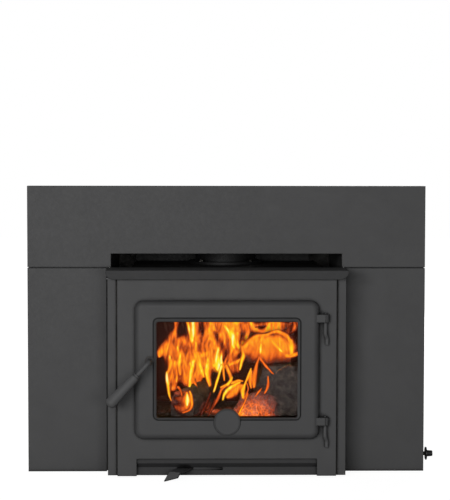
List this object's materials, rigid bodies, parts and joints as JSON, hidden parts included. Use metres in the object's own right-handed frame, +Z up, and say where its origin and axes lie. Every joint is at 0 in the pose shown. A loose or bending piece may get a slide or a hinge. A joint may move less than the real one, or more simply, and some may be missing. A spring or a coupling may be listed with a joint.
{
  "type": "fireplace insert",
  "caption": "Wood-burning fireplace insert with a panelled surround, glazed cast door with a turning latch handle, air lever, fan and flue collar.",
  "frame": {"origin": "on the hearth floor, on the centreline, in the plane of the masonry face that the surround closes on", "axes": "+X to the right as seen from the room, +Y into the fireplace, +Z up; the door faces -Y"},
  "size_m": [1.094, 0.62, 0.77],
  "materials": {
    "stove_paint": "matt high-temperature charcoal paint",
    "sheet_steel": "folded sheet, dulled by heat",
    "plate_steel": "welded plate, dark mill scale",
    "stainless_tube": "heat-tinted stainless tube",
    "zinc_hardware": "plated fasteners and bars",
    "blackened_rod": "blackened steel rod",
    "painted_casting": "casting under matt charcoal paint",
    "ceramic_glass": "clear glass ceramic",
    "glass_fibre": "knitted glass-fibre rope and tape",
    "bronze": "sintered bronze",
    "grip_paint": "satin charcoal paint on a turned steel grip",
    "firebrick": "pumice firebrick",
    "baffle_board": "vermiculite board",
    "fan_aluminium": "plain aluminium",
    "motor_case": "black lacquered stampings",
    "control_body": "moulded control body with metal bushing",
    "knob_plastic": "black moulded knob",
    "embers": "glowing charcoal and ash",
    "charred_wood": "burning split logs"
  },
  "bodies": {
    "insert": {"surround_top": "stove_paint", "surround_left": "stove_paint", "surround_right": "stove_paint", "splice_plates": "stove_paint", "surround_brackets_side": "stove_paint", "surround_bracket_top": "stove_paint", "casing_left": "stove_paint", "casing_right": "stove_paint", "top_cap": "stove_paint", "front_plate": "stove_paint", "lower_air_panel": "stove_paint", "base_pan": "sheet_steel", "casing_rear": "sheet_steel", "casing_top": "sheet_steel", "air_deflector": "sheet_steel", "fan_housing": "sheet_steel", "base_runners": "plate_steel", "firebox_shell": "plate_steel", "brick_retainer": "plate_steel", "air_manifolds": "plate_steel", "baffle_support": "plate_steel", "damper_seat": "plate_steel", "air_duct": "plate_steel", "latch_strike": "plate_steel", "secondary_air_tubes": "stainless_tube", "levelling_bolts": "zinc_hardware", "levelling_nuts": "zinc_hardware", "surround_nuts": "zinc_hardware", "collar_bolts": "zinc_hardware", "lever_pin": "zinc_hardware", "speed_control_nut": "zinc_hardware", "hinge_pins": "blackened_rod", "flue_collar": "painted_casting", "fan_bearing": "bronze", "floor_firebricks": "firebrick", "side_firebricks": "firebrick", "back_firebricks": "firebrick", "baffle_boards": "baffle_board", "fan_motor": "motor_case", "speed_control": "control_body", "ember_bed": "embers", "log_left": "charred_wood", "log_right": "charred_wood", "log_top": "charred_wood"},
    "door": {"door_frame": "painted_casting", "door_glass": "ceramic_glass", "glass_gasket": "glass_fibre", "glass_retainers": "zinc_hardware", "retainer_screws": "zinc_hardware", "door_rope_gasket": "glass_fibre", "latch_bush": "bronze"},
    "handle": {"latch_shaft": "blackened_rod", "grip_ferrule": "grip_paint", "handle_grip": "grip_paint", "latch_finger": "blackened_rod", "latch_nut": "zinc_hardware"},
    "lever": {"air_lever": "stove_paint"},
    "knob": {"speed_knob": "knob_plastic"},
    "fan": {"fan_wheel": "fan_aluminium"}
  },
  "joints": [
    {"name": "door_swing", "type": "hinge", "parent": "insert", "child": "door", "pos_m": [0.2575, -0.156, 0.29], "axis": [0, 0, 1], "range_deg": [0, 115]},
    {"name": "latch_turn", "type": "hinge", "parent": "door", "child": "handle", "pos_m": [-0.202, -0.18, 0.316], "axis": [0, 1, 0], "range_deg": [-45, 45]},
    {"name": "air_lever_turn", "type": "hinge", "parent": "insert", "child": "lever", "pos_m": [-0.066, -0.04, 0.0245], "axis": [0, 0, 1], "range_deg": [0, 45]},
    {"name": "fan_speed_turn", "type": "hinge", "parent": "insert", "child": "knob", "pos_m": [0.5415, -0.0225, 0.0437], "axis": [1, 0, 0], "range_deg": [0, 270]},
    {"name": "fan_spin", "type": "hinge", "parent": "insert", "child": "fan", "pos_m": [0.03, 0.355, 0.044], "axis": [1, 0, 0], "continuous": true}
  ]
}
